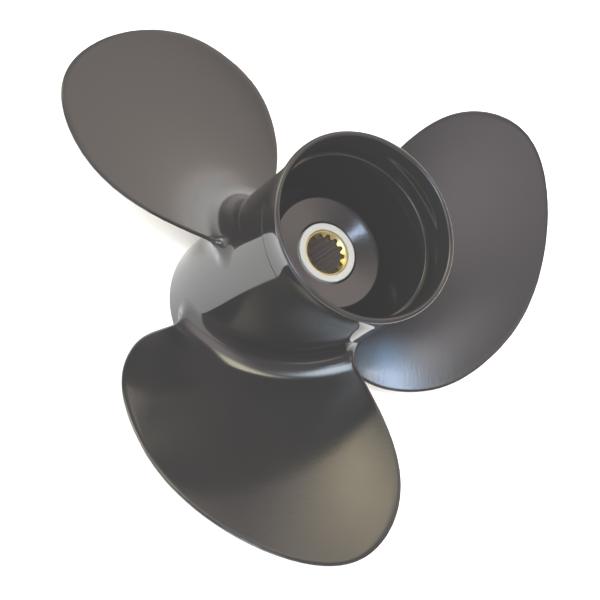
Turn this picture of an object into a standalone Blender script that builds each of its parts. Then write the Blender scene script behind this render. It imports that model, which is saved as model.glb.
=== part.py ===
"""Three-blade outboard propeller: a painted casting on a rubber bush, a nylon sleeve and a brass sleeve.

Metres, +Z up. The shaft axis is Z. The propeller stands on the forward end of its barrel, at z = 0,
with its aft end up. The middle line of blade 1 points along +X.
"""
import math

import bmesh
import bpy
import numpy as np

MM = 0.001

# Barrel: the outer tube that the exhaust passes through
BARREL_LENGTH = 131.0 * MM
BARREL_RADIUS = 43.6 * MM
BARREL_FRONT_RADIUS = 42.2 * MM
FRONT_TAPER_LENGTH = 45.0 * MM
FLARE_START = 112.0 * MM
FLARE_STEP = 0.35 * MM
RIM_RADIUS = 46.0 * MM
LIP_THICKNESS = 2.2 * MM
LEDGE_HEIGHT = 114.2 * MM
LEDGE_RADIUS = 41.2 * MM
LEDGE_ROUND = 0.4 * MM
WALL = 3.4 * MM
FRONT_EDGE_ROUND = 1.2 * MM

# Inner hub: the boss inside the barrel
HUB_AFT_RADIUS = 26.8 * MM
HUB_FRONT_RADIUS = 28.4 * MM
HUB_FRONT = 12.0 * MM
HUB_AFT = 92.4 * MM
HUB_FACE_DISH = 0.8 * MM
HUB_EDGE_ROUND = 1.6 * MM
BUSH_BORE_RADIUS = 21.0 * MM
AFT_PLATE_THICKNESS = 12.0 * MM
AFT_HOLE_RADIUS = 15.2 * MM

# Ribs between the inner hub and the barrel, one under each blade root
RIB_COUNT = 3
RIB_THICKNESS = 6.0 * MM
RIB_AFT = 62.0 * MM
RIB_ANGLE = -6.0
RIB_SINK = 1.7 * MM

# Blades
BLADE_COUNT = 3
PITCH = 211.0 * MM
RAKE_SLOPE = 0.288
BLADE_AXIS_HEIGHT = 35.5 * MM
EDGE_THICKNESS = 1.8 * MM
ROOT_THICKNESS = 9.5 * MM
TIP_THICKNESS = 3.0 * MM
FILLET_RADIUS = 10.5 * MM
FILLET_TOE = 0.15 * MM
TAPER_REACH = 20.0 * MM
# Edge of a blade as (radius in mm, angle in degrees), from leading root round the tip to trailing root
BLADE_EDGE = [(42.0, -52.0), (66.0, -51.0), (82.0, -48.0), (101.0, -40.0), (117.0, -28.5),
              (129.0, -17.5), (140.0, -2.5), (147.0, 13.5), (140.0, 24.0), (121.0, 32.0),
              (97.5, 37.0), (70.5, 39.5), (42.0, 40.5)]
TIP_INDEX = 7

# Bush and sleeves inside the inner hub
GAP = 0.3 * MM
BUSH_FRONT = 13.0 * MM
NYLON_RADIUS = 14.8 * MM
NYLON_BORE_RADIUS = 11.2 * MM
NYLON_FRONT = 14.5 * MM
NYLON_AFT = 92.3 * MM
NYLON_EDGE = 0.6 * MM
BRASS_RADIUS = 10.9 * MM
BRASS_FLANGE_RADIUS = 14.2 * MM
BRASS_FRONT = 9.0 * MM
BRASS_AFT = 91.2 * MM
BRASS_MOUTH_RADIUS = 10.4 * MM
CHAMFER_SLOPE = 0.6
SPLINE_TEETH = 13
SPLINE_ROOT_RADIUS = 9.6 * MM
SPLINE_TIP_RADIUS = 8.2 * MM
SPLINE_TURN = 1.0

# Mesh steps
TURN_STEPS = 72
LIP_STEPS = 6
FLARE_RINGS = 4
EDGE_STEPS = 3
CURVE_STEPS = 200
BLADE_ROWS = 14
BLADE_COLUMNS = 12
NOSE_STEPS = 3
NOSE_SHARE = 0.3
# Shares of the blade's length from tip to root between which its plain rows lie
FIRST_ROW = 0.03
LAST_ROW = 0.88
# Heights of the fillet's rows above the barrel, as shares of the fillet radius
FILLET_ROWS = (1.0, 0.66, 0.4, 0.22, 0.1, 0.04, 0.015)


def clear_scene():
    for obj in list(bpy.data.objects):
        bpy.data.objects.remove(obj, do_unlink=True)


def paint(obj, name, colour, roughness, metallic):
    material = bpy.data.materials.new(name)
    material.use_nodes = True
    shader = material.node_tree.nodes["Principled BSDF"]
    shader.inputs["Base Color"].default_value = (*colour, 1.0)
    shader.inputs["Roughness"].default_value = roughness
    shader.inputs["Metallic"].default_value = metallic
    obj.data.materials.clear()
    obj.data.materials.append(material)


def add_object(name, mesh):
    obj = bpy.data.objects.new(name, mesh)
    bpy.context.scene.collection.objects.link(obj)
    return obj


def mesh_from(name, points, faces):
    """A closed mesh with its faces turned outwards."""
    mesh = bpy.data.meshes.new(name)
    mesh.from_pydata([tuple(p) for p in points], [], faces)
    work = bmesh.new()
    work.from_mesh(mesh)
    bmesh.ops.recalc_face_normals(work, faces=work.faces)
    work.to_mesh(mesh)
    work.free()
    return mesh


def arc(centre_r, centre_z, radius, start, end, steps):
    """Points (r, z) of an arc, angles in degrees from +r towards +z."""
    angles = [math.radians(start + (end - start) * i / steps) for i in range(steps + 1)]
    return [(centre_r + radius * math.cos(a), centre_z + radius * math.sin(a)) for a in angles]


def turned(name, profile, steps=TURN_STEPS):
    """A ring turned about Z from a closed profile of (r, z) points that runs down its outer side."""
    count = len(profile)
    mesh = bpy.data.meshes.new(name)
    edges = [(i, (i + 1) % count) for i in range(count)]
    mesh.from_pydata([(r, 0.0, z) for r, z in profile], edges, [])
    obj = add_object(name, mesh)
    screw = obj.modifiers.new("turn", 'SCREW')
    screw.steps = steps
    screw.render_steps = steps
    screw.use_merge_vertices = True
    screw.merge_threshold = 0.00001
    screw.use_smooth_shade = True
    return obj


def as_guide(obj):
    obj.hide_render = True
    obj.display_type = 'WIRE'
    return obj


def join_to(target, guide):
    """Fuses a guide into the target, which stays one body."""
    union = target.modifiers.new("join " + guide.name, 'BOOLEAN')
    union.operation = 'UNION'
    union.solver = 'EXACT'
    union.object = as_guide(guide)


def barrel_outer_radius(z):
    """Outside radius of the barrel's plain part, which tapers towards its front."""
    share = min(max(z / FRONT_TAPER_LENGTH, 0.0), 1.0)
    return BARREL_FRONT_RADIUS + (BARREL_RADIUS - BARREL_FRONT_RADIUS) * share


def flare_points(top):
    """Outside of the flare from below the lip down: it opens ever wider, like the mouth of a bell."""
    points = []
    for ring in range(1, FLARE_RINGS + 1):
        share = 1.0 - ring / FLARE_RINGS
        foot = BARREL_RADIUS + FLARE_STEP
        base = FLARE_START + FLARE_STEP
        points.append((foot + (RIM_RADIUS - foot) * share ** 2, base + (top - base) * share))
    return points


def barrel_profile():
    lip = 0.5 * LIP_THICKNESS
    lip_centre = RIM_RADIUS - lip
    lip_height = BARREL_LENGTH - lip
    points = arc(lip_centre, lip_height, lip, 180, 0, LIP_STEPS)
    points += flare_points(lip_height)
    points += [(BARREL_RADIUS, FLARE_START), (BARREL_RADIUS, FRONT_TAPER_LENGTH)]
    front_centre = BARREL_FRONT_RADIUS - FRONT_EDGE_ROUND
    points += arc(front_centre, FRONT_EDGE_ROUND, FRONT_EDGE_ROUND, 0, -90, EDGE_STEPS)
    points += [(BARREL_FRONT_RADIUS - WALL, 0.0)]
    points += [(BARREL_RADIUS - WALL, FRONT_TAPER_LENGTH)]
    ledge_centre = BARREL_RADIUS - WALL + LEDGE_ROUND
    points += arc(ledge_centre, LEDGE_HEIGHT - LEDGE_ROUND, LEDGE_ROUND, 180, 90, EDGE_STEPS)
    points += [(LEDGE_RADIUS, LEDGE_HEIGHT)]
    return points


def hub_profile():
    plate = HUB_AFT - AFT_PLATE_THICKNESS
    edge_centre = HUB_AFT_RADIUS - HUB_EDGE_ROUND
    points = [(AFT_HOLE_RADIUS, HUB_AFT - HUB_FACE_DISH)]
    points += arc(edge_centre, HUB_AFT - HUB_EDGE_ROUND, HUB_EDGE_ROUND, 90, 0, EDGE_STEPS)
    points += [(HUB_FRONT_RADIUS, HUB_FRONT + HUB_EDGE_ROUND)]
    points += [(HUB_FRONT_RADIUS - HUB_EDGE_ROUND, HUB_FRONT)]
    points += [(BUSH_BORE_RADIUS, HUB_FRONT), (BUSH_BORE_RADIUS, plate), (AFT_HOLE_RADIUS, plate)]
    return points


def rib(index):
    """A radial plate that ends inside the hub wall and inside the barrel wall."""
    inner = HUB_AFT_RADIUS - RIB_SINK
    outer = BARREL_FRONT_RADIUS - WALL + RIB_SINK
    half = 0.5 * RIB_THICKNESS
    low = HUB_FRONT + HUB_EDGE_ROUND
    points = [(x, y, z) for x in (inner, outer) for y in (-half, half) for z in (low, RIB_AFT)]
    faces = [(0, 1, 3, 2), (4, 6, 7, 5), (0, 4, 5, 1), (2, 3, 7, 6), (0, 2, 6, 4), (1, 5, 7, 3)]
    obj = add_object(f"rib_guide_{index + 1}", mesh_from("rib", points, faces))
    obj.rotation_euler.z = math.radians(RIB_ANGLE + 360.0 * index / RIB_COUNT)
    return obj


def natural_spline(values):
    """A function of place along the smooth curve through rows of values one step apart."""
    rows = np.array(values, float)
    count = len(rows)
    matrix = np.eye(count)
    bends = np.zeros_like(rows)
    for i in range(1, count - 1):
        matrix[i, i - 1:i + 2] = (1.0, 4.0, 1.0)
        bends[i] = 6.0 * (rows[i - 1] - 2.0 * rows[i] + rows[i + 1])
    bends = np.linalg.solve(matrix, bends)

    def read(place):
        i = min(int(place), count - 2)
        u = place - i
        v = 1.0 - u
        bend = ((v ** 3 - v) * bends[i] + (u ** 3 - u) * bends[i + 1]) / 6.0
        return v * rows[i] + u * rows[i + 1] + bend

    return read


def blade_edge_curve():
    """Place along the edge to (radius in metres, angle in radians)."""
    return natural_spline([(radius * MM, math.radians(angle)) for radius, angle in BLADE_EDGE])


def place_at_radius(curve, start, end, radius):
    """Place between start and end where the edge passes the radius."""
    places = np.linspace(start, end, CURVE_STEPS)
    radii = [curve(place)[0] for place in places]
    return float(np.interp(radius, radii, places))


def blade_stations():
    """Leading and trailing edge points of each blade section, from the tip in to the barrel wall."""
    curve = blade_edge_curve()
    last = len(BLADE_EDGE) - 1
    stations = []
    for row in range(BLADE_ROWS):
        share = FIRST_ROW + (LAST_ROW - FIRST_ROW) * row / (BLADE_ROWS - 1)
        stations.append((curve(TIP_INDEX * (1.0 - share)), curve(TIP_INDEX + (last - TIP_INDEX) * share)))
    for height in FILLET_ROWS:
        radius = BARREL_RADIUS + height * FILLET_RADIUS
        lead = curve(place_at_radius(curve, 0.0, 1.0, radius))
        trail = curve(place_at_radius(curve, last, last - 1.0, radius))
        stations.append((lead, trail))
    stations.append((curve(0.0), curve(float(last))))
    return stations


def blade_height(radius, angle):
    """Height of the blade's pressure side: a helicoid with a straight rake."""
    return BLADE_AXIS_HEIGHT + PITCH * angle / (2.0 * math.pi) + RAKE_SLOPE * radius


def taper_shift(radius, height):
    """How far the blade's inner part moves in to follow the taper at the front of the barrel."""
    share = min(max((radius - BARREL_RADIUS) / TAPER_REACH, 0.0), 1.0)
    return (BARREL_RADIUS - barrel_outer_radius(height)) * (1.0 - share)


def fillet_spread(radius):
    """How far the blade spreads on each side where it runs into the barrel."""
    rise = max(radius - BARREL_RADIUS, FILLET_TOE)
    if rise >= FILLET_RADIUS:
        return 0.0
    return FILLET_RADIUS - math.sqrt(FILLET_RADIUS ** 2 - (FILLET_RADIUS - rise) ** 2)


def blade_point(base, along, out):
    """A point beside the pressure side: along the chord to the trailing edge, and out to the aft side."""
    radius, angle = base
    slope = math.atan(PITCH / (2.0 * math.pi * radius))
    turn = angle + (along * math.cos(slope) - out * math.sin(slope)) / radius
    height = blade_height(radius, angle) + along * math.sin(slope) + out * math.cos(slope)
    reach = radius - taper_shift(radius, height)
    return (reach * math.cos(turn), reach * math.sin(turn), height)


def chord_length(lead, trail):
    mean_radius = 0.5 * (lead[0] + trail[0])
    rise = blade_height(*trail) - blade_height(*lead)
    return math.hypot(mean_radius * (trail[1] - lead[1]), rise, trail[0] - lead[0])


def blade_thickness(radius, across):
    """Thickness at a radius, across from -1 at the leading edge to 1 at the trailing edge."""
    tip_radius = BLADE_EDGE[TIP_INDEX][0] * MM
    share = min(max((tip_radius - radius) / (tip_radius - BARREL_RADIUS), 0.0), 1.0)
    crown = TIP_THICKNESS + (ROOT_THICKNESS - TIP_THICKNESS) * share
    return EDGE_THICKNESS + (crown - EDGE_THICKNESS) * (1.0 - across ** 2)


def blade_loop(lead, trail):
    """Closed section: aft side from leading to trailing edge, then forward side back."""
    half = 0.5 * EDGE_THICKNESS
    chord = chord_length(lead, trail)
    nose = min(EDGE_THICKNESS, NOSE_SHARE * chord)
    aft_side = []
    forward_side = []
    for step in range(NOSE_STEPS):
        turn = 0.5 * math.pi * step / NOSE_STEPS
        spread = fillet_spread(lead[0])
        along = nose * (1.0 - math.cos(turn)) - spread * math.cos(turn)
        out = (half + spread) * math.sin(turn)
        aft_side.append(blade_point(lead, along, out))
        forward_side.append(blade_point(lead, along, -out))
    for column in range(BLADE_COLUMNS + 1):
        share = (nose + (chord - 2.0 * nose) * column / BLADE_COLUMNS) / chord
        base = lead + (trail - lead) * share
        spread = fillet_spread(base[0])
        thickness = blade_thickness(base[0], 2.0 * column / BLADE_COLUMNS - 1.0)
        aft_side.append(blade_point(base, 0.0, half + spread))
        forward_side.append(blade_point(base, 0.0, half - thickness - spread))
    for step in reversed(range(NOSE_STEPS)):
        turn = 0.5 * math.pi * step / NOSE_STEPS
        spread = fillet_spread(trail[0])
        along = spread * math.cos(turn) - nose * (1.0 - math.cos(turn))
        out = (half + spread) * math.sin(turn)
        aft_side.append(blade_point(trail, along, out))
        forward_side.append(blade_point(trail, along, -out))
    return aft_side + forward_side[-2:0:-1]


def blade(index):
    loops = [blade_loop(lead, trail) for lead, trail in blade_stations()]
    size = len(loops[0])
    faces = []
    for row in range(len(loops) - 1):
        for i in range(size):
            j = (i + 1) % size
            faces.append((row * size + i, row * size + j, (row + 1) * size + j, (row + 1) * size + i))
    for first in (0, (len(loops) - 1) * size):
        faces.append((first, first + 1, first + size - 1))
        for i in range(1, size // 2 - 1):
            faces.append((first + i, first + i + 1, first + size - i - 1, first + size - i))
        middle = size // 2
        faces.append((first + middle - 1, first + middle, first + middle + 1))
    points = [point for loop in loops for point in loop]
    obj = add_object(f"blade_guide_{index + 1}", mesh_from("blade", points, faces))
    obj.rotation_euler.z = 2.0 * math.pi * index / BLADE_COUNT
    return obj


def casting():
    """Barrel, inner hub, ribs and blades, which are cast in one piece."""
    obj = turned("propeller_casting", barrel_profile())
    hub = turned("hub_guide", hub_profile())
    for index in range(RIB_COUNT):
        join_to(hub, rib(index))
    join_to(obj, hub)
    for index in range(BLADE_COUNT):
        join_to(obj, blade(index))
    paint(obj, "black gloss paint", (0.02, 0.019, 0.02), 0.25, 0.0)


def rubber_bush():
    aft = HUB_AFT - AFT_PLATE_THICKNESS - GAP
    outer = BUSH_BORE_RADIUS - GAP
    inner = NYLON_RADIUS + GAP
    profile = [(inner, aft), (outer, aft), (outer, BUSH_FRONT), (inner, BUSH_FRONT)]
    paint(turned("rubber_bush", profile), "black rubber", (0.015, 0.015, 0.015), 0.7, 0.0)


def nylon_sleeve():
    low = NYLON_AFT - NYLON_EDGE
    profile = [(NYLON_BORE_RADIUS, low), (NYLON_BORE_RADIUS + NYLON_EDGE, NYLON_AFT)]
    profile += [(NYLON_RADIUS - NYLON_EDGE, NYLON_AFT), (NYLON_RADIUS, low)]
    profile += [(NYLON_RADIUS, NYLON_FRONT), (NYLON_BORE_RADIUS, NYLON_FRONT)]
    paint(turned("nylon_sleeve", profile), "white nylon", (0.82, 0.81, 0.76), 0.4, 0.0)


def spline_outline():
    """Bore radius at each step round the axis: a groove and a tooth for each spline."""
    groove = [SPLINE_ROOT_RADIUS, SPLINE_ROOT_RADIUS]
    tooth = [SPLINE_TIP_RADIUS, SPLINE_TIP_RADIUS]
    return (groove + tooth) * SPLINE_TEETH


def splined_sleeve():
    """Brass sleeve with a flange at the front and a splined bore, countersunk at both ends."""
    bore = spline_outline()
    steps = len(bore)
    flange_back = NYLON_FRONT - GAP
    countersink = [(BRASS_MOUTH_RADIUS - radius) * CHAMFER_SLOPE for radius in bore]
    rings = [
        [(BRASS_RADIUS, BRASS_AFT)] * steps,
        [(BRASS_RADIUS, flange_back)] * steps,
        [(BRASS_FLANGE_RADIUS, flange_back)] * steps,
        [(BRASS_FLANGE_RADIUS, BRASS_FRONT)] * steps,
        [(BRASS_MOUTH_RADIUS, BRASS_FRONT)] * steps,
        [(radius, BRASS_FRONT + depth) for radius, depth in zip(bore, countersink)],
        [(radius, BRASS_AFT - depth) for radius, depth in zip(bore, countersink)],
        [(BRASS_MOUTH_RADIUS, BRASS_AFT)] * steps,
    ]
    points = []
    for ring in rings:
        for i, (radius, height) in enumerate(ring):
            turn = math.radians(SPLINE_TURN) + 2.0 * math.pi * (i - 0.5) / steps
            points.append((radius * math.cos(turn), radius * math.sin(turn), height))
    faces = []
    for ring in range(len(rings)):
        after = (ring + 1) % len(rings)
        for i in range(steps):
            j = (i + 1) % steps
            faces.append((ring * steps + i, ring * steps + j, after * steps + j, after * steps + i))
    obj = add_object("splined_brass_sleeve", mesh_from("splined_sleeve", points, faces))
    paint(obj, "brass", (0.72, 0.53, 0.2), 0.3, 1.0)


def main():
    clear_scene()
    casting()
    rubber_bush()
    nylon_sleeve()
    splined_sleeve()


main()
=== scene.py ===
"""Looks of the outboard boat propeller: smooth surfaces, paint, nylon, brass and rubber, in a pale studio."""
import math

import bmesh
import bpy
import numpy as np
from mathutils import Matrix, Quaternion, Vector


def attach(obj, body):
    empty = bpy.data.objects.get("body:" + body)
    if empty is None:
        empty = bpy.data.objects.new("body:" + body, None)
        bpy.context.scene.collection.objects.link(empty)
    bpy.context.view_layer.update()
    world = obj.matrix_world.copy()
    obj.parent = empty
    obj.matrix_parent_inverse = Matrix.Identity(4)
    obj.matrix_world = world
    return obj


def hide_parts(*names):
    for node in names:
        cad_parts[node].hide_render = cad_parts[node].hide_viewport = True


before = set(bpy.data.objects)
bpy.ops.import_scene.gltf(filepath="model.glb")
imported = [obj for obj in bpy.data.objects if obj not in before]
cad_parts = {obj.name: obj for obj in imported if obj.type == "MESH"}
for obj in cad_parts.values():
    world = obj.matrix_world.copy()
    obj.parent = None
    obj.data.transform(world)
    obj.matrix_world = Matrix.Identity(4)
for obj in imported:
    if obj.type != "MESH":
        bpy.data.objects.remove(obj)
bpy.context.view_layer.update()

MM = 0.001

# Barrel: the outer tube that the exhaust passes through
BARREL_LENGTH = 131.0 * MM
BARREL_RADIUS = 43.6 * MM
BARREL_FRONT_RADIUS = 42.2 * MM
FRONT_TAPER_LENGTH = 45.0 * MM
FLARE_START = 112.0 * MM
FLARE_STEP = 0.35 * MM
RIM_RADIUS = 46.0 * MM
OUTER_BEND = 2.5
INNER_BEND = 4.0
LIP_THICKNESS = 2.8 * MM
LEDGE_HEIGHT = 114.2 * MM
LEDGE_RADIUS = 41.2 * MM
LEDGE_ROUND = 0.6 * MM
GROOVE_WIDTH = 1.2 * MM
GROOVE_DEPTH = 0.5 * MM
WALL = 3.4 * MM
FRONT_EDGE_ROUND = 1.2 * MM

# Inner hub: the boss inside the barrel
HUB_AFT_RADIUS = 27.9 * MM
HUB_FRONT_RADIUS = 28.4 * MM
HUB_FRONT = 12.0 * MM
HUB_AFT = 92.4 * MM
HUB_FACE_DISH = 0.95 * MM
HUB_EDGE_ROUND = 0.9 * MM
FACE_MARGIN = 0.3 * MM
BUSH_BORE_RADIUS = 21.0 * MM
AFT_PLATE_THICKNESS = 12.0 * MM
AFT_HOLE_RADIUS = 15.6 * MM

# Ribs between the inner hub and the barrel, with the first one's angle in degrees
RIB_COUNT = 3
RIB_THICKNESS = 6.0 * MM
RIB_AFT = 62.0 * MM
RIB_ANGLE = -6.0
RIB_SINK = 1.7 * MM
RIB_ROUND = 1.5 * MM

# Blades
BLADE_COUNT = 3
PITCH = 211.0 * MM
RAKE_SLOPE = 0.288
BLADE_AXIS_HEIGHT = 35.5 * MM
EDGE_THICKNESS = 1.8 * MM
EDGE_REACH = 1.8 * MM
# The points of a row's round edge take up this share of the row at most
NOSE_SHARE = 0.2
ROOT_THICKNESS = 9.5 * MM
TIP_THICKNESS = 3.0 * MM
FILLET_RADIUS = 11.5 * MM
TAPER_REACH = 20.0 * MM
ROOT_SINK = 0.8 * MM
CROWN_REACH = 9.0 * MM
# Edge of a blade as (radius in mm, angle in degrees), from leading root round the tip to trailing root
BLADE_EDGE = [(42.0, -52.0), (66.0, -51.0), (82.0, -48.0), (101.0, -40.0), (117.0, -28.5),
              (129.0, -17.5), (140.0, -2.5), (147.0, 13.5), (140.0, 24.0), (121.0, 32.0),
              (97.5, 37.0), (70.5, 39.5), (42.0, 40.5)]
TIP_INDEX = 7
EDGE_END = len(BLADE_EDGE) - 1
# At the tip chord and nose have no length, so these stand for them there
TIP_CHORD = 1e-8
TIP_NOSE = 1e-9

# Sleeves inside the inner hub, with the first spline's turn in degrees
NYLON_RADIUS = 14.6 * MM
NYLON_BORE_RADIUS = 11.2 * MM
NYLON_FRONT = 14.5 * MM
NYLON_AFT = 92.3 * MM
NYLON_EDGE = 0.6 * MM
BRASS_RADIUS = 10.9 * MM
BRASS_FLANGE_RADIUS = 14.2 * MM
BRASS_FRONT = 9.0 * MM
BRASS_AFT = 91.2 * MM
BRASS_MOUTH_RADIUS = 10.4 * MM
FLANGE_BACK = 14.2 * MM
CHAMFER_SLOPE = 0.6
SPLINE_TEETH = 13
SPLINE_ROOT_RADIUS = 9.6 * MM
SPLINE_TIP_RADIUS = 8.2 * MM
SPLINE_TURN = 1.0
# Half the flat top of a tooth, and its sloping side, as shares of the way from one groove to the next
TOOTH_HALF = 0.14
TOOTH_SIDE = 0.2

# Mesh: steps
TURN_STEPS = 256
LIP_STEPS = 14
FLARE_RINGS = 12
EDGE_STEPS = 8
RIB_ROUND_STEPS = 3
BLADE_COLUMNS = 44
BLADE_ROWS = 44
NOSE_STEPS = 8
FILLET_STEPS = 16
TIP_STEPS = 400
ROOT_STEPS = 200
OUTLINE_STEPS = 900
SPLINE_STEPS = 16
# Mesh: shares of the way from a blade's tip to its root
TIP_REACH = 0.3
LAST_ROW = 0.88
# Mesh: points closer than this are one, and edges over these angles in degrees are sharp
WELD_DISTANCE = 0.0005 * MM
SHARP_ANGLE = 35.0
HUB_SHARP_ANGLE = 30.0
BRASS_SHARP_ANGLE = 25.0

# Camera: seen from the aft end, above the barrel, with lens and sensor in mm and angles in degrees
LENS = 107.03
SENSOR = 36.0
CAMERA_TILT = 32.169
CAMERA_ROLL = -123.104
CAMERA_TURN = 8.741
SHAFT_ORIGIN_IN_VIEW = Vector((-28.19, -4.39, -914.38)) * MM
CLIP_START = 10.0 * MM

# Looks: colours are linear red, green and blue, and scales of noise are per metre
PAINT_COLOUR = (0.0075, 0.007, 0.007)
PAINT_IOR = 1.5
BARREL_GLOSS = (0.07, 0.02)
BLADE_GLOSS = (0.15, 0.03)
HUB_GLOSS = (0.08, 0.02)
NOISE_LOW = 0.3
NOISE_HIGH = 0.7
CLOUD_SCALE = 35.0
CLOUD_DETAIL = 3.0
PEEL_SCALE = 700.0
PEEL_DETAIL = 1.0
PEEL_DEPTH = 0.006 * MM
GRAIN_TURN = -9.0
GRAIN_SIZE = (1.0 * MM, 12.0 * MM, 1.0 * MM)
GRAIN_DETAIL = 3.0
GRAIN_DEPTH = 0.02 * MM
NIB_SCALE = 80.0
NIB_RADIUS = 0.3 * MM
NIB_HEIGHT = 0.1 * MM
RING_SCALE = 2500.0
RING_DETAIL = 2.0
RING_DEPTH = 0.003 * MM
# Towards its bore the nylon is yellower: partly a stain, partly painted warm light bounced from the brass
NYLON_BORE_STAIN_AND_BOUNCE_COLOUR = (0.32, 0.305, 0.26)
NYLON_OUTER_COLOUR = (0.305, 0.315, 0.305)
NYLON_ROUGHNESS = 0.4
BRASS_COLOUR = (0.43, 0.35, 0.13)
BRASS_ROUGHNESS = 0.3
# Painted shade down the bore: between these depths below its aft end the brass fades to a dull dark brown,
# less metallic, that stands for the shade inside
BORE_SHADE_COLOUR = (0.13, 0.095, 0.085)
BORE_SHADE_METALLIC = 0.2
BORE_SHADE_START = 2.0 * MM
BORE_SHADE_DEPTH = 5.0 * MM
BROACH_SIZE = (0.8 * MM, 0.8 * MM, 40.0 * MM)
BROACH_DEPTH = 0.02 * MM
RUBBER_COLOUR = (0.02, 0.02, 0.02)
RUBBER_ROUGHNESS = 0.7
RUBBER_DETAIL = 2.0
RUBBER_DEPTH = 0.06 * MM
FLOOR_COLOUR = (0.88, 0.885, 0.88)
FLOOR_ROUGHNESS = 0.6
FLOOR_SIZE = 6.0

# Light: radiance as red, green and blue, directions as azimuth and elevation in degrees, sizes in metres
ROOM_RADIANCE = (0.46, 0.4, 0.41)
BACKDROP_RADIANCE = (1.9, 1.8, 1.6)
BACKDROP_TOP = 4.0
BACKDROP_BOTTOM = -4.0
LAMP_DISTANCE = 0.95
FLASH_DIRECTION = (80.0, 62.5)
FLASH_SIZE = 0.11
FLASH_RADIANCE = 170.0
FLASH_COLOUR = (1.0, 0.96, 0.92)
SPARK_DIRECTION = (78.0, 64.0)
SPARK_SIZE = 0.006
SPARK_RADIANCE = 1500.0
FILL_STRENGTH = 2.4
FILL_COLOUR = (1.0, 0.98, 0.9)
FILL_ANGLE = 170.0
BLACK_LEVEL = 0.038
ALL_COLOURS_CURVE = 3
# Azimuth, elevation, width, height and turn in degrees, softness of the edge, and radiance
OVALS = [
    (-109.0, 6.0, 98.0, 61.5, -11.0, 0.35, (1.3, 1.1, 0.95)),
    (-180.0, 61.5, 47.5, 69.0, 23.0, 1.0, (1.94, 1.7, 1.77)),
    (-92.0, 54.0, 41.0, 21.5, -11.5, 0.65, (2.13, 1.73, 1.57)),
    (-102.0, 36.0, 36.0, 9.0, 0.0, 0.6, (2.8, 2.7, 2.3)),
    (-29.0, 53.0, 50.0, 18.0, 5.0, 0.9, (4.6, 4.0, 2.4)),
    (-43.0, 51.5, 43.0, 21.0, 0.0, 0.15, (1.0, 0.85, 0.72)),
    (-70.5, 36.0, 15.5, 40.0, 3.0, 0.2, (1.7, 1.45, 1.2)),
    (-6.0, 36.5, 58.0, 22.0, 10.0, 0.75, (9.6, 9.2, 6.7)),
    (25.0, 21.0, 98.0, 56.0, -12.0, 0.65, (2.3, 1.95, 1.85)),
    (124.0, 9.0, 54.0, 22.0, 0.0, 0.6, (2.4, 2.2, 2.1)),
    (60.0, 55.0, 62.0, 12.5, -3.0, 0.7, (12.0, 14.4, 16.6)),
    (100.0, 46.0, 16.0, 8.0, 0.0, 1.0, (7.0, 9.5, 11.5)),
    (61.5, 69.5, 21.0, 11.0, -17.0, 0.88, (12.5, 15.0, 18.5)),
    (79.5, 66.0, 36.0, 12.5, -23.5, 1.0, (4.0, 7.4, 12.0)),
    (73.0, 75.0, 36.0, 7.0, -25.0, 0.47, (2.0, 2.2, 2.1)),
    (94.5, 74.0, 33.5, 18.0, 30.0, 1.0, (2.85, 2.6, 2.75)),
    (-97.3, 64.7, 1.4, 9.0, 8.0, 0.6, (14.0, 18.0, 24.0)),
]


def natural_spline(values, places):
    """Reads the smooth curve through rows of values one step apart at an array of places."""
    rows = np.array(values, float)
    count = len(rows)
    matrix = np.eye(count)
    bends = np.zeros_like(rows)
    for i in range(1, count - 1):
        matrix[i, i - 1:i + 2] = (1.0, 4.0, 1.0)
        bends[i] = 6.0 * (rows[i - 1] - 2.0 * rows[i] + rows[i + 1])
    bends = np.linalg.solve(matrix, bends)
    i = np.minimum(np.asarray(places).astype(int), count - 2)
    u = (places - i)[:, None]
    v = 1.0 - u
    bend = ((v ** 3 - v) * bends[i] + (u ** 3 - u) * bends[i + 1]) / 6.0
    return v * rows[i] + u * rows[i + 1] + bend


def add_piece(name, points, faces, node, sharp=SHARP_ANGLE):
    """A smooth piece that rides on the root body and stands for a CAD node."""
    mesh = bpy.data.meshes.new(name)
    mesh.from_pydata([tuple(p) for p in points], [], faces)
    work = bmesh.new()
    work.from_mesh(mesh)
    bmesh.ops.remove_doubles(work, verts=work.verts, dist=WELD_DISTANCE)
    bmesh.ops.recalc_face_normals(work, faces=work.faces)
    work.to_mesh(mesh)
    work.free()
    mesh.shade_smooth()
    mesh.set_sharp_from_angle(angle=math.radians(sharp))
    obj = bpy.data.objects.new(name, mesh)
    bpy.context.scene.collection.objects.link(obj)
    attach(obj, "root")
    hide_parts(node)
    return obj


def grid_faces(rows, columns, start=0):
    """Quads between rows of points."""
    faces = []
    for row in range(rows - 1):
        for column in range(columns - 1):
            a = start + row * columns + column
            faces.append((a, a + 1, a + columns + 1, a + columns))
    return faces


def ring_faces(rings, steps):
    """Quads between closed rings of points, the last ring joined to the first."""
    faces = []
    for ring in range(rings):
        after = (ring + 1) % rings
        for i in range(steps):
            j = (i + 1) % steps
            faces.append((ring * steps + i, ring * steps + j, after * steps + j, after * steps + i))
    return faces


def arc(centre_r, centre_z, radius, start, end, steps):
    """Points (r, z) of an arc, angles in degrees from +r towards +z."""
    angles = [math.radians(start + (end - start) * i / steps) for i in range(steps + 1)]
    return [(centre_r + radius * math.cos(a), centre_z + radius * math.sin(a)) for a in angles]


def turned_points(profile):
    """Points (r, z) of a profile turned round the shaft axis, ring by ring."""
    points = []
    for r, z in profile:
        for i in range(TURN_STEPS):
            turn = 2.0 * math.pi * i / TURN_STEPS
            points.append((r * math.cos(turn), r * math.sin(turn), z))
    return points


def turned_round(points, angle):
    """Points turned round the shaft axis by an angle in radians."""
    x, y, z = np.asarray(points, float).T
    cos, sin = math.cos(angle), math.sin(angle)
    return np.stack([x * cos - y * sin, x * sin + y * cos, z], -1)


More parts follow.
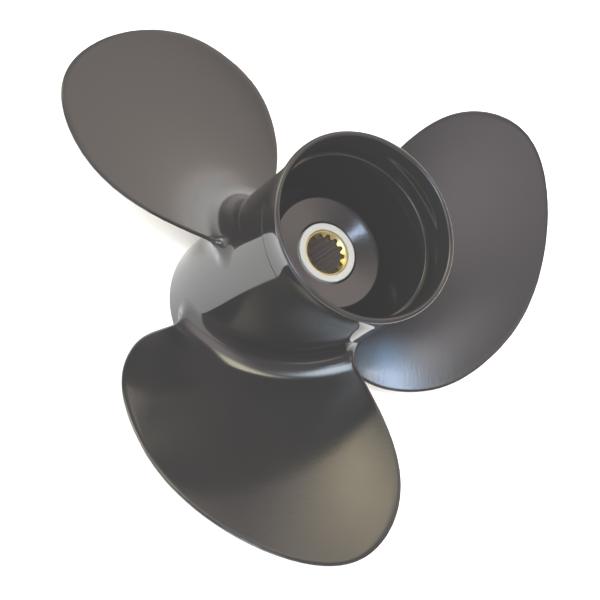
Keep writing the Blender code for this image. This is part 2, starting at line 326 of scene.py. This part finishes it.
def barrel_outer_radius(height):
    """Outside radius of the barrel's plain part, which tapers towards its front."""
    share = np.clip(height / FRONT_TAPER_LENGTH, 0.0, 1.0)
    return BARREL_FRONT_RADIUS + (BARREL_RADIUS - BARREL_FRONT_RADIUS) * share


def bell_points(foot, base, mouth, top, bend):
    """Rings of a wall that opens ever wider upwards, like the mouth of a bell, without its top ring."""
    shares = [ring / FLARE_RINGS for ring in range(FLARE_RINGS)]
    return [(foot + (mouth - foot) * share ** bend, base + (top - base) * share) for share in shares]


def barrel():
    lip = 0.5 * LIP_THICKNESS
    front_centre = BARREL_FRONT_RADIUS - FRONT_EDGE_ROUND
    ledge_centre = BARREL_RADIUS - WALL + LEDGE_ROUND
    top = BARREL_LENGTH - lip
    profile = arc(RIM_RADIUS - lip, top, lip, 180, 0, LIP_STEPS)
    foot = BARREL_RADIUS + FLARE_STEP
    profile += bell_points(foot, FLARE_START + GROOVE_WIDTH, RIM_RADIUS, top, OUTER_BEND)[::-1]
    profile += [(BARREL_RADIUS - GROOVE_DEPTH, FLARE_START + 0.5 * GROOVE_WIDTH)]
    profile += [(BARREL_RADIUS, FLARE_START), (BARREL_RADIUS, FRONT_TAPER_LENGTH)]
    profile += arc(front_centre, FRONT_EDGE_ROUND, FRONT_EDGE_ROUND, 0, -90, EDGE_STEPS)
    profile += [(BARREL_FRONT_RADIUS - WALL, 0.0)]
    profile += [(BARREL_RADIUS - WALL, FRONT_TAPER_LENGTH)]
    profile += arc(ledge_centre, LEDGE_HEIGHT - LEDGE_ROUND, LEDGE_ROUND, 180, 90, EDGE_STEPS)
    profile += bell_points(LEDGE_RADIUS, LEDGE_HEIGHT, RIM_RADIUS - LIP_THICKNESS, top, INNER_BEND)
    faces = ring_faces(len(profile), TURN_STEPS)
    return add_piece("barrel", turned_points(profile), faces, "propeller_casting")


def inner_hub():
    plate = HUB_AFT - AFT_PLATE_THICKNESS
    centre = HUB_AFT_RADIUS - HUB_EDGE_ROUND
    dish = math.degrees(math.atan2(HUB_FACE_DISH, centre - AFT_HOLE_RADIUS))
    edge = arc(centre, HUB_AFT - HUB_EDGE_ROUND, HUB_EDGE_ROUND, 90 + dish, 0, EDGE_STEPS)
    # A ring beside the edge keeps the face straight up to it
    beside = (edge[0][0] - FACE_MARGIN, edge[0][1] - FACE_MARGIN * math.tan(math.radians(dish)))
    profile = [(AFT_HOLE_RADIUS, HUB_AFT - HUB_FACE_DISH), beside] + edge
    profile += [(HUB_FRONT_RADIUS, HUB_FRONT + HUB_EDGE_ROUND)]
    profile += [(HUB_FRONT_RADIUS - HUB_EDGE_ROUND, HUB_FRONT)]
    profile += [(BUSH_BORE_RADIUS, HUB_FRONT), (BUSH_BORE_RADIUS, plate), (AFT_HOLE_RADIUS, plate)]
    faces = ring_faces(len(profile), TURN_STEPS)
    points = turned_points(profile)
    return add_piece("inner_hub", points, faces, "propeller_casting", HUB_SHARP_ANGLE)


def rib(index):
    """A radial plate with rounded edges, which ends inside the hub wall and inside the barrel wall."""
    inner = HUB_AFT_RADIUS - RIB_SINK
    outer = BARREL_FRONT_RADIUS - WALL + RIB_SINK
    half = 0.5 * RIB_THICKNESS
    low = HUB_FRONT + HUB_EDGE_ROUND
    points = [(x, y, z) for x in (inner, outer) for y in (-half, half) for z in (low, RIB_AFT)]
    faces = [(0, 1, 3, 2), (4, 6, 7, 5), (0, 4, 5, 1), (2, 3, 7, 6), (0, 2, 6, 4), (1, 5, 7, 3)]
    points = turned_round(points, math.radians(RIB_ANGLE + 360.0 * index / RIB_COUNT))
    obj = add_piece(f"rib_{index + 1}", points, faces, "propeller_casting")
    bevel = obj.modifiers.new("round", 'BEVEL')
    bevel.width = RIB_ROUND
    bevel.segments = RIB_ROUND_STEPS
    return obj


def blade_height(radius, angle):
    """Height of the surface through the blade's edge: a helicoid with a straight rake."""
    return BLADE_AXIS_HEIGHT + PITCH * angle / (2.0 * math.pi) + RAKE_SLOPE * radius


def middle_point(radius, angle):
    """Points of that surface at radii and angles round the shaft."""
    return np.stack([radius * np.cos(angle), radius * np.sin(angle), blade_height(radius, angle)], -1)


def edge_curve(places):
    """Radius in metres and angle in radians at places along the edge."""
    read = natural_spline(BLADE_EDGE, np.atleast_1d(np.asarray(places, float)))
    return read * (MM, math.pi / 180.0)


def edge_pair(shares):
    """Leading and trailing edge points at shares of the way from the tip to the root."""
    lead = edge_curve(TIP_INDEX * (1.0 - shares))
    trail = edge_curve(TIP_INDEX + (EDGE_END - TIP_INDEX) * shares)
    return lead, trail


def tip_rows():
    """Shares of the way from tip to root whose rows lie ever closer to the tip, so that its edge is round."""
    shares = np.linspace(0.0, TIP_REACH, TIP_STEPS)
    lead, trail = [middle_point(*side.T) for side in edge_pair(shares)]
    depth = np.linalg.norm(0.5 * (lead + trail) - lead[0], axis=1)
    turns = np.linspace(0.0, 0.5 * math.pi, NOSE_STEPS + 1)[1:]
    wanted = EDGE_REACH * (1.0 - np.cos(turns))
    return np.interp(wanted, depth, shares)


def stations():
    """Leading and trailing edge points of each row, from the tip in to inside the barrel."""
    near_tip = tip_rows()
    shares = np.concatenate([[0.0], near_tip, np.linspace(near_tip[-1], LAST_ROW, BLADE_ROWS)[1:]])
    lead, trail = edge_pair(shares)
    turns = np.linspace(0.0, 0.5 * math.pi, FILLET_STEPS)
    rises = np.concatenate([FILLET_RADIUS * (1.0 - np.sin(turns)), [-ROOT_SINK]])
    lead_places = np.linspace(0.0, 1.0, ROOT_STEPS)
    trail_places = np.linspace(EDGE_END - 1.0, EDGE_END, ROOT_STEPS)
    lead_curve = edge_curve(lead_places)
    trail_curve = edge_curve(trail_places)
    inner_lead = np.interp(BARREL_RADIUS + rises, lead_curve[:, 0], lead_places)
    inner_trail = np.interp(-(BARREL_RADIUS + rises), -trail_curve[:, 0], trail_places)
    return np.vstack([lead, edge_curve(inner_lead)]), np.vstack([trail, edge_curve(inner_trail)])


def outline_points():
    """The blade's edge in space, down to inside the barrel."""
    places = np.linspace(0.0, EDGE_END, OUTLINE_STEPS)
    return middle_point(*edge_curve(places).T)


def distance_to_outline(points):
    """Distance of each point from the nearest point of the blade's edge."""
    outline = outline_points()
    nearest = [np.sqrt(((outline - p) ** 2).sum(1).min()) for p in points]
    return np.array(nearest)


def blade_sheets():
    """Aft and forward side of a blade as rows of points, which meet along its edge."""
    lead, trail = stations()
    chord = np.linalg.norm(middle_point(*trail.T) - middle_point(*lead.T), axis=1)
    turns = np.linspace(0.0, 0.5 * math.pi, NOSE_STEPS + 1)
    nose = (1.0 - np.cos(turns))[:-1]
    nose_length = np.minimum(EDGE_REACH, NOSE_SHARE * chord)
    share = np.maximum(nose_length, TIP_NOSE) / np.maximum(chord, TIP_CHORD)
    middle = np.linspace(0.0, 1.0, BLADE_COLUMNS + 1)
    ends = nose[None, :] * share[:, None]
    inner = share[:, None] + (1.0 - 2.0 * share[:, None]) * middle[None, :]
    across = np.concatenate([ends, inner, 1.0 - ends[:, ::-1]], axis=1)
    base = lead[:, None, :] + (trail - lead)[:, None, :] * across[:, :, None]
    radius, angle = base[..., 0], base[..., 1]
    depth = distance_to_outline(middle_point(radius, angle).reshape(-1, 3)).reshape(radius.shape)
    half = 0.5 * EDGE_THICKNESS
    part = np.clip(depth / EDGE_REACH, 0.0, 1.0)
    # Both ends of a row lie on the edge, where the two sides meet
    part[:, 0] = 0.0
    part[:, -1] = 0.0
    round_edge = half * np.sqrt(1.0 - (1.0 - part) ** 2)
    tip_radius = BLADE_EDGE[TIP_INDEX][0] * MM
    inward = np.clip((tip_radius - radius) / (tip_radius - BARREL_RADIUS), 0.0, 1.0)
    crown = TIP_THICKNESS + (ROOT_THICKNESS - TIP_THICKNESS) * inward - EDGE_THICKNESS
    bulge = crown * (1.0 - (2.0 * across - 1.0) ** 2) * (1.0 - np.exp(-depth / CROWN_REACH))
    rise = np.maximum(radius - BARREL_RADIUS, 0.0)
    spread = np.where(
        rise < FILLET_RADIUS,
        FILLET_RADIUS - np.sqrt(np.maximum(FILLET_RADIUS ** 2 - (FILLET_RADIUS - rise) ** 2, 0.0)),
        0.0,
    )
    side = np.where(across < 0.5, -1.0, 1.0)
    along = side * (1.0 - part) * spread
    out = np.sqrt(1.0 - (1.0 - part) ** 2) * spread
    aft = spread_point(radius, angle, along, round_edge + out)
    forward = spread_point(radius, angle, along, -round_edge - bulge - out)
    return aft, forward


def spread_point(radius, angle, along, out):
    """Points beside the middle surface, moved round and along the shaft but not away from it."""
    slope = np.arctan(PITCH / (2.0 * math.pi * radius))
    turn = angle + (along * np.cos(slope) - out * np.sin(slope)) / radius
    height = blade_height(radius, angle) + along * np.sin(slope) + out * np.cos(slope)
    fade = np.clip((radius - BARREL_RADIUS) / TAPER_REACH, 0.0, 1.0)
    reach = radius - (BARREL_RADIUS - barrel_outer_radius(height)) * (1.0 - fade)
    return np.stack([reach * np.cos(turn), reach * np.sin(turn), height], -1)


def blade(index):
    """Both sides of a blade and the strip that closes them inside the barrel, turned to its place."""
    aft, forward = blade_sheets()
    rows, columns = aft.shape[:2]
    start = rows * columns
    faces = grid_faces(rows, columns) + grid_faces(rows, columns, start)
    last = (rows - 1) * columns
    for column in range(columns - 1):
        a = last + column
        faces.append((a, a + 1, start + a + 1, start + a))
    points = np.vstack([aft.reshape(-1, 3), forward.reshape(-1, 3)])
    points = turned_round(points, 2.0 * math.pi * index / BLADE_COUNT)
    return add_piece(f"blade_{index + 1}", points, faces, "propeller_casting")


def nylon_sleeve():
    low = NYLON_AFT - NYLON_EDGE
    profile = [(NYLON_BORE_RADIUS, NYLON_FRONT)]
    profile += arc(NYLON_BORE_RADIUS + NYLON_EDGE, low, NYLON_EDGE, 180, 90, EDGE_STEPS)
    profile += arc(NYLON_RADIUS - NYLON_EDGE, low, NYLON_EDGE, 90, 0, EDGE_STEPS)
    profile += [(NYLON_RADIUS, NYLON_FRONT)]
    faces = ring_faces(len(profile), TURN_STEPS)
    return add_piece("white_sleeve", turned_points(profile), faces, "nylon_sleeve")


def bore_radii():
    """Bore radius at each step round the axis, from the middle of one groove to the next for each spline."""
    place = np.arange(SPLINE_STEPS) / SPLINE_STEPS
    to_groove = np.clip((np.abs(place - 0.5) - TOOTH_HALF) / TOOTH_SIDE, 0.0, 1.0)
    radii = SPLINE_TIP_RADIUS + (SPLINE_ROOT_RADIUS - SPLINE_TIP_RADIUS) * to_groove
    return np.tile(radii, SPLINE_TEETH)


def brass_sleeve():
    """Brass sleeve with a flange at the front and a splined bore, countersunk at both ends."""
    bore = bore_radii()
    steps = len(bore)
    depth = (BRASS_MOUTH_RADIUS - bore) * CHAMFER_SLOPE
    plain = np.ones(steps)
    rings = [
        (BRASS_RADIUS * plain, BRASS_AFT * plain),
        (BRASS_RADIUS * plain, FLANGE_BACK * plain),
        (BRASS_FLANGE_RADIUS * plain, FLANGE_BACK * plain),
        (BRASS_FLANGE_RADIUS * plain, BRASS_FRONT * plain),
        (BRASS_MOUTH_RADIUS * plain, BRASS_FRONT * plain),
        (bore, BRASS_FRONT + depth),
        (bore, BRASS_AFT - depth),
        (BRASS_MOUTH_RADIUS * plain, BRASS_AFT * plain),
    ]
    turn = math.radians(SPLINE_TURN) + 2.0 * math.pi * np.arange(steps) / steps
    points = np.vstack([np.stack([r * np.cos(turn), r * np.sin(turn), z], -1) for r, z in rings])
    faces = ring_faces(len(rings), steps)
    return add_piece("brass_sleeve", points, faces, "splined_brass_sleeve", BRASS_SHARP_ANGLE)


def add_node(tree, kind, inputs=None, **settings):
    """A shader node, whose inputs are set to values or fed by sockets."""
    node = tree.nodes.new(kind)
    for name, value in settings.items():
        setattr(node, name, value)
    for name, value in (inputs or {}).items():
        if isinstance(value, bpy.types.NodeSocket):
            tree.links.new(value, node.inputs[name])
        else:
            node.inputs[name].default_value = value
    return node


def new_material(name, colour, roughness, metallic=0.0):
    """A plain material, its nodes and its shader, and the piece's own coordinates."""
    material = bpy.data.materials.new(name)
    material.use_nodes = True
    tree = material.node_tree
    shader = tree.nodes["Principled BSDF"]
    shader.inputs["Base Color"].default_value = (*colour, 1.0)
    shader.inputs["Roughness"].default_value = roughness
    shader.inputs["Metallic"].default_value = metallic
    place = add_node(tree, "ShaderNodeTexCoord").outputs["Object"]
    return material, tree, shader, place


def add_noise(tree, place, scale, detail):
    inputs = {"Vector": place, "Scale": scale, "Detail": detail}
    return add_node(tree, "ShaderNodeTexNoise", inputs).outputs["Fac"]


def add_grain(tree, place, size, turn=0.0):
    """Noise whose grains have a size along each axis, after a turn round Z in degrees."""
    inputs = {"Vector": place, "Rotation": (0.0, 0.0, math.radians(turn)), "Scale": size}
    turned = add_node(tree, "ShaderNodeMapping", inputs, vector_type='TEXTURE').outputs["Vector"]
    return add_noise(tree, turned, 1.0, GRAIN_DETAIL)


def add_rings(tree, place):
    """Fine rings round the shaft axis, as a lathe leaves them."""
    flat = add_node(tree, "ShaderNodeVectorMath", {0: place, 1: (1.0, 1.0, 0.0)}, operation='MULTIPLY')
    radius = add_node(tree, "ShaderNodeVectorMath", {0: flat.outputs["Vector"]}, operation='LENGTH')
    inputs = {"W": radius.outputs["Value"], "Scale": RING_SCALE, "Detail": RING_DETAIL}
    rings = add_node(tree, "ShaderNodeTexNoise", inputs, noise_dimensions='1D')
    return rings.outputs["Fac"], radius.outputs["Value"]


def add_nibs(tree, place):
    """A few round specks that dried into the paint."""
    cells = add_node(tree, "ShaderNodeTexVoronoi", {"Vector": place, "Scale": NIB_SCALE})
    return add_range(tree, cells.outputs["Distance"], 1.0, 0.0, 0.0, NIB_RADIUS * NIB_SCALE)


def add_range(tree, source, low, high, start=NOISE_LOW, end=NOISE_HIGH):
    """Low to high while the source goes from start to end, which by default is a noise's middle range."""
    inputs = {"Value": source, "From Min": start, "From Max": end, "To Min": low, "To Max": high}
    return add_node(tree, "ShaderNodeMapRange", inputs).outputs["Result"]


def add_bump(tree, source, depth, below=None):
    inputs = {"Height": source, "Distance": depth, "Strength": 1.0}
    if below is not None:
        inputs["Normal"] = below
    return add_node(tree, "ShaderNodeBump", inputs).outputs["Normal"]


def add_mix(tree, share, first, second):
    """Colour between two, by a share from 0 to 1. Sockets 6, 7 and 2 are the node's colour ones."""
    inputs = {0: share, 6: (*first, 1.0), 7: (*second, 1.0)}
    return add_node(tree, "ShaderNodeMix", inputs, data_type='RGBA').outputs[2]


def paint_material(name, gloss, grain_turn=None, rings=False):
    """Black paint on a casting: uneven gloss, slight orange peel, and the marks of the metal under it."""
    roughness, spread = gloss
    material, tree, shader, place = new_material(name, PAINT_COLOUR, roughness)
    shader.inputs["IOR"].default_value = PAINT_IOR
    cloud = add_noise(tree, place, CLOUD_SCALE, CLOUD_DETAIL)
    uneven = add_range(tree, cloud, roughness - spread, roughness + spread)
    tree.links.new(uneven, shader.inputs["Roughness"])
    normal = add_bump(tree, add_noise(tree, place, PEEL_SCALE, PEEL_DETAIL), PEEL_DEPTH)
    normal = add_bump(tree, add_nibs(tree, place), NIB_HEIGHT, normal)
    if grain_turn is not None:
        normal = add_bump(tree, add_grain(tree, place, GRAIN_SIZE, grain_turn), GRAIN_DEPTH, normal)
    if rings:
        normal = add_bump(tree, add_rings(tree, place)[0], RING_DEPTH, normal)
    tree.links.new(normal, shader.inputs["Normal"])
    return material


def nylon_material():
    """White nylon turned on a lathe, a little yellower towards its bore: partly a stain and partly painted
    warm light bounced from the brass.
    """
    material, tree, shader, place = new_material("white nylon", NYLON_OUTER_COLOUR, NYLON_ROUGHNESS)
    rings, radius = add_rings(tree, place)
    share = add_range(tree, radius, 0.0, 1.0, NYLON_BORE_RADIUS, NYLON_RADIUS)
    tree.links.new(add_mix(tree, share, NYLON_BORE_STAIN_AND_BOUNCE_COLOUR, NYLON_OUTER_COLOUR), shader.inputs["Base Color"])
    tree.links.new(add_bump(tree, rings, RING_DEPTH), shader.inputs["Normal"])
    return material


def brass_material():
    """Machined brass, bright at the mouth of the bore, and painted a duller, darker brown further down as the
    shade inside the bore.
    """
    material, tree, shader, place = new_material("brass", BRASS_COLOUR, BRASS_ROUGHNESS, 1.0)
    height = add_node(tree, "ShaderNodeSeparateXYZ", {"Vector": place}).outputs["Z"]
    # Painted shade: the deeper into the bore, the darker and less metallic the brass
    painted_bore_shade = add_range(tree, height, 0.0, 1.0, BRASS_AFT - BORE_SHADE_START, BRASS_AFT - BORE_SHADE_DEPTH)
    tree.links.new(add_mix(tree, painted_bore_shade, BRASS_COLOUR, BORE_SHADE_COLOUR), shader.inputs["Base Color"])
    tree.links.new(add_range(tree, painted_bore_shade, 1.0, BORE_SHADE_METALLIC, 0.0, 1.0), shader.inputs["Metallic"])
    broach = add_grain(tree, place, BROACH_SIZE)
    tree.links.new(add_bump(tree, broach, BROACH_DEPTH), shader.inputs["Normal"])
    return material


def rubber_material():
    material, tree, shader, place = new_material("rubber", RUBBER_COLOUR, RUBBER_ROUGHNESS)
    normal = add_bump(tree, add_noise(tree, place, PEEL_SCALE, RUBBER_DETAIL), RUBBER_DEPTH)
    tree.links.new(normal, shader.inputs["Normal"])
    return material


def assign(obj, material):
    obj.data.materials.clear()
    obj.data.materials.append(material)


def dress():
    """Makes each piece and gives it its material."""
    barrel_paint = paint_material("barrel paint", BARREL_GLOSS)
    hub_paint = paint_material("hub paint", HUB_GLOSS, rings=True)
    assign(barrel(), barrel_paint)
    assign(inner_hub(), hub_paint)
    for index in range(RIB_COUNT):
        assign(rib(index), barrel_paint)
    for index in range(BLADE_COUNT):
        turn = GRAIN_TURN + 360.0 * index / BLADE_COUNT
        assign(blade(index), paint_material(f"blade paint {index + 1}", BLADE_GLOSS, turn))
    assign(nylon_sleeve(), nylon_material())
    assign(brass_sleeve(), brass_material())
    assign(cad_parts["rubber_bush"], rubber_material())


def camera():
    data = bpy.data.cameras.new("camera")
    data.sensor_width = SENSOR
    data.lens = LENS
    data.clip_start = CLIP_START
    obj = bpy.data.objects.new("camera", data)
    bpy.context.scene.collection.objects.link(obj)
    to_view = (Matrix.Rotation(math.radians(-CAMERA_ROLL), 3, 'Z')
               @ Matrix.Rotation(math.radians(CAMERA_TILT), 3, 'X')
               @ Matrix.Rotation(math.radians(CAMERA_TURN), 3, 'Z'))
    place = to_view.transposed() @ -SHAFT_ORIGIN_IN_VIEW
    obj.matrix_world = Matrix.Translation(place) @ to_view.transposed().to_4x4()
    bpy.context.scene.camera = obj


def floor():
    bpy.ops.mesh.primitive_plane_add(size=FLOOR_SIZE)
    obj = bpy.context.object
    obj.name = "floor"
    assign(obj, new_material("floor", FLOOR_COLOUR, FLOOR_ROUGHNESS)[0])


def direction(azimuth, elevation):
    """Unit vector at an azimuth from +X and an elevation, both in degrees."""
    a, e = math.radians(azimuth), math.radians(elevation)
    return Vector((math.cos(a) * math.cos(e), math.sin(a) * math.cos(e), math.sin(e)))


def add_light(tree, light, share, radiance):
    """Light plus a share, from 0 to 1, of a radiance."""
    scaled = add_node(tree, "ShaderNodeVectorMath", {0: radiance, "Scale": share}, operation='SCALE')
    added = add_node(tree, "ShaderNodeVectorMath", {0: light, 1: scaled.outputs["Vector"]}, operation='ADD')
    return added.outputs["Vector"]


def add_step(tree, source, low, high):
    """Rises smoothly from 0 at low to 1 at high."""
    inputs = {"Value": source, "From Min": low, "From Max": high}
    step = add_node(tree, "ShaderNodeMapRange", inputs, interpolation_type='SMOOTHSTEP')
    return step.outputs["Result"]


def add_oval(tree, view, azimuth, elevation, width, height, turn, soft):
    """Share from 0 to 1 of an oval patch of sky, sizes and turn in degrees, soft as a share of its radius."""
    towards = direction(azimuth, elevation)
    facing = towards.to_track_quat('Z', 'Y') @ Quaternion((0.0, 0.0, 1.0), math.radians(turn))
    size = (math.sin(0.5 * math.radians(width)), math.sin(0.5 * math.radians(height)), 1.0)
    inputs = {"Vector": view, "Location": towards, "Rotation": facing.to_euler(), "Scale": size}
    place = add_node(tree, "ShaderNodeMapping", inputs, vector_type='TEXTURE')
    inputs = {"Vector": place.outputs["Vector"]}
    oval = add_node(tree, "ShaderNodeTexGradient", inputs, gradient_type='SPHERICAL')
    return add_step(tree, oval.outputs["Fac"], 0.0, soft)


def sky():
    """Light from a plain studio: soft ovals over a dim room, and a pale backdrop all round."""
    world = bpy.data.worlds.new("studio")
    bpy.context.scene.world = world
    world.use_nodes = True
    tree = world.node_tree
    view = add_node(tree, "ShaderNodeTexCoord").outputs["Generated"]
    light = ROOM_RADIANCE
    for *oval, radiance in OVALS:
        light = add_light(tree, light, add_oval(tree, view, *oval), radiance)
    height = add_node(tree, "ShaderNodeSeparateXYZ", {"Vector": view}).outputs["Z"]
    top, bottom = (math.sin(math.radians(angle)) for angle in (BACKDROP_TOP, BACKDROP_BOTTOM))
    low = add_step(tree, height, top, bottom)
    light = add_light(tree, light, low, BACKDROP_RADIANCE)
    background = tree.nodes["Background"]
    tree.links.new(light, background.inputs["Color"])
    # What the camera sees past the floor's edge is as white as the floor
    white = add_node(tree, "ShaderNodeBackground").outputs["Background"]
    to_camera = add_node(tree, "ShaderNodeLightPath").outputs["Is Camera Ray"]
    mix = add_node(tree, "ShaderNodeMixShader", {0: to_camera, 1: background.outputs["Background"], 2: white})
    tree.links.new(mix.outputs["Shader"], tree.nodes["World Output"].inputs["Surface"])


def lamp(name, azimuth, elevation, size, radiance):
    """A small square lamp aimed at the middle of the barrel."""
    data = bpy.data.lights.new(name, 'AREA')
    data.size = size
    data.energy = radiance * math.pi * size * size
    obj = bpy.data.objects.new(name, data)
    bpy.context.scene.collection.objects.link(obj)
    back = direction(azimuth, elevation)
    obj.location = back * LAMP_DISTANCE + Vector((0.0, 0.0, 0.5 * BARREL_LENGTH))
    obj.rotation_euler = back.to_track_quat('Z', 'Y').to_euler()
    return obj


def fill():
    """Broad light from above that leaves no image of itself in the paint."""
    data = bpy.data.lights.new("fill", 'SUN')
    data.angle = math.radians(FILL_ANGLE)
    data.energy = FILL_STRENGTH
    data.color = FILL_COLOUR
    obj = bpy.data.objects.new("fill", data)
    bpy.context.scene.collection.objects.link(obj)
    obj.visible_glossy = False


def studio():
    sky()
    flash = lamp("flash", *FLASH_DIRECTION, FLASH_SIZE, FLASH_RADIANCE)
    flash.visible_glossy = False
    flash.data.color = FLASH_COLOUR
    lamp("spark", *SPARK_DIRECTION, SPARK_SIZE, SPARK_RADIANCE)
    fill()


def print_look():
    """Plain display colours, with the black level of the photograph's print."""
    settings = bpy.context.scene.view_settings
    settings.view_transform = 'Standard'
    settings.use_curve_mapping = True
    curve = settings.curve_mapping.curves[ALL_COLOURS_CURVE]
    curve.points[0].location = (0.0, BLACK_LEVEL)
    for point in curve.points:
        point.handle_type = 'VECTOR'
    settings.curve_mapping.update()


camera()
dress()
floor()
studio()
print_look()
